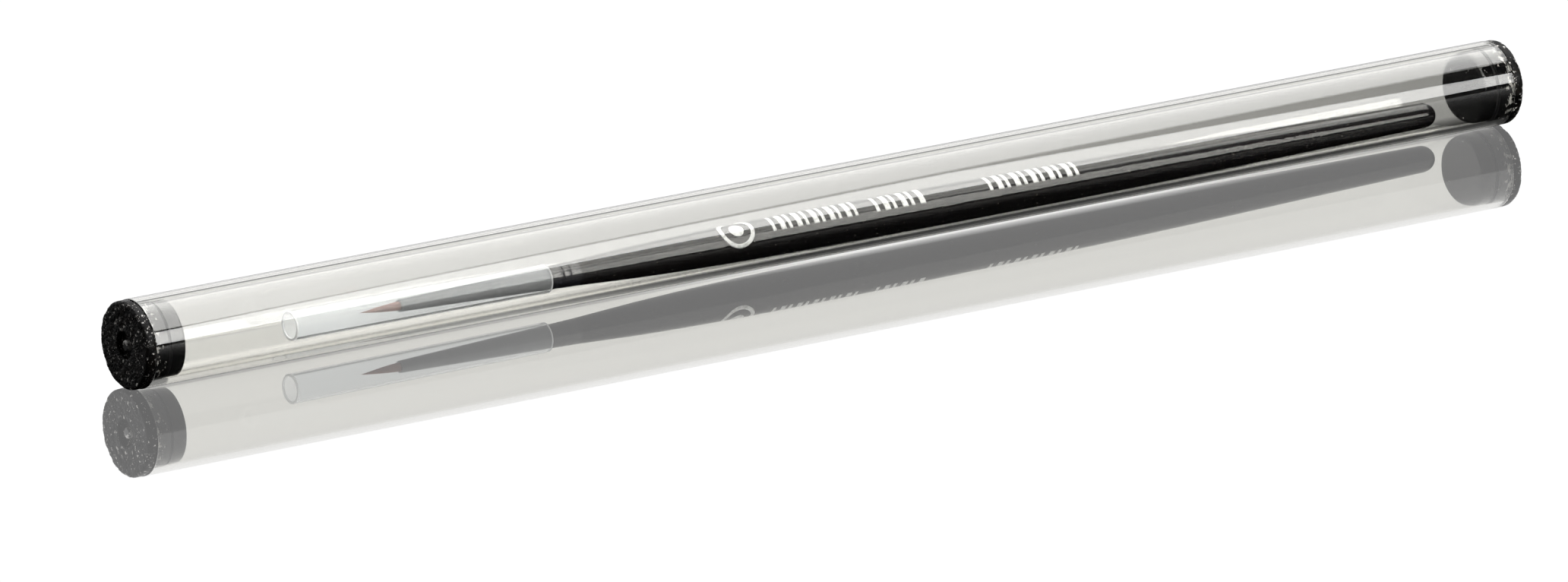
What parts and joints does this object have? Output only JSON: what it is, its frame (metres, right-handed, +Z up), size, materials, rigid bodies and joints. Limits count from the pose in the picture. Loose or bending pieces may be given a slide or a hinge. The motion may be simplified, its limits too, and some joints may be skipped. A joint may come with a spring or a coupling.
{
  "type": "paint brush in a storage tube",
  "caption": "Fine pointed paint brush with a clear tuft guard, lying in a clear round storage tube closed by a black push-in plug at each end.",
  "frame": {"origin": "On the floor under the middle of the tube, which lies on its side: the centre of the bounding box's bottom.", "axes": "+X along the tube from the front plug, at the brush's tuft end, to the rear plug; +Z up; +Y completes a right-handed frame."},
  "size_m": [0.2374, 0.0126, 0.0127],
  "materials": {
    "clear_tube": "clear, polished, slightly grey hard plastic",
    "black_plug": "black moulded plastic with a coarse gritty head and a smooth shank",
    "black_lacquer": "wood under glossy black lacquer with plain white printed marks",
    "black_metal": "gloss black coated metal",
    "brown_hair": "reddish-brown animal hair, brought to a point",
    "binding_thread": "fine waxed thread",
    "cured_glue": "amber cured resin",
    "milky_sleeve": "milky translucent soft plastic tube"
  },
  "bodies": {
    "tube": {"storage_tube": "clear_tube"},
    "front_cap": {"front_plug": "black_plug"},
    "rear_cap": {"rear_plug": "black_plug"},
    "brush": {"handle": "black_lacquer", "ferrule": "black_metal", "hair_tuft": "brown_hair", "tuft_binding": "binding_thread", "root_glue": "cured_glue"},
    "guard": {"protective_sleeve": "milky_sleeve"}
  },
  "joints": [
    {"name": "front_plug_pull", "type": "slide", "parent": "tube", "child": "front_cap", "axis": [-1, 0, 0], "range_m": [0, 0.018]},
    {"name": "rear_plug_pull", "type": "slide", "parent": "tube", "child": "rear_cap", "axis": [1, 0, 0], "range_m": [0, 0.018]},
    {"name": "brush_slide", "type": "slide", "parent": "tube", "child": "brush", "axis": [1, 0, 0], "range_m": [-0.005, 0.005]},
    {"name": "guard_pull", "type": "slide", "parent": "brush", "child": "guard", "axis": [-1, 0, 0.0064], "range_m": [0, 0.0145]}
  ]
}
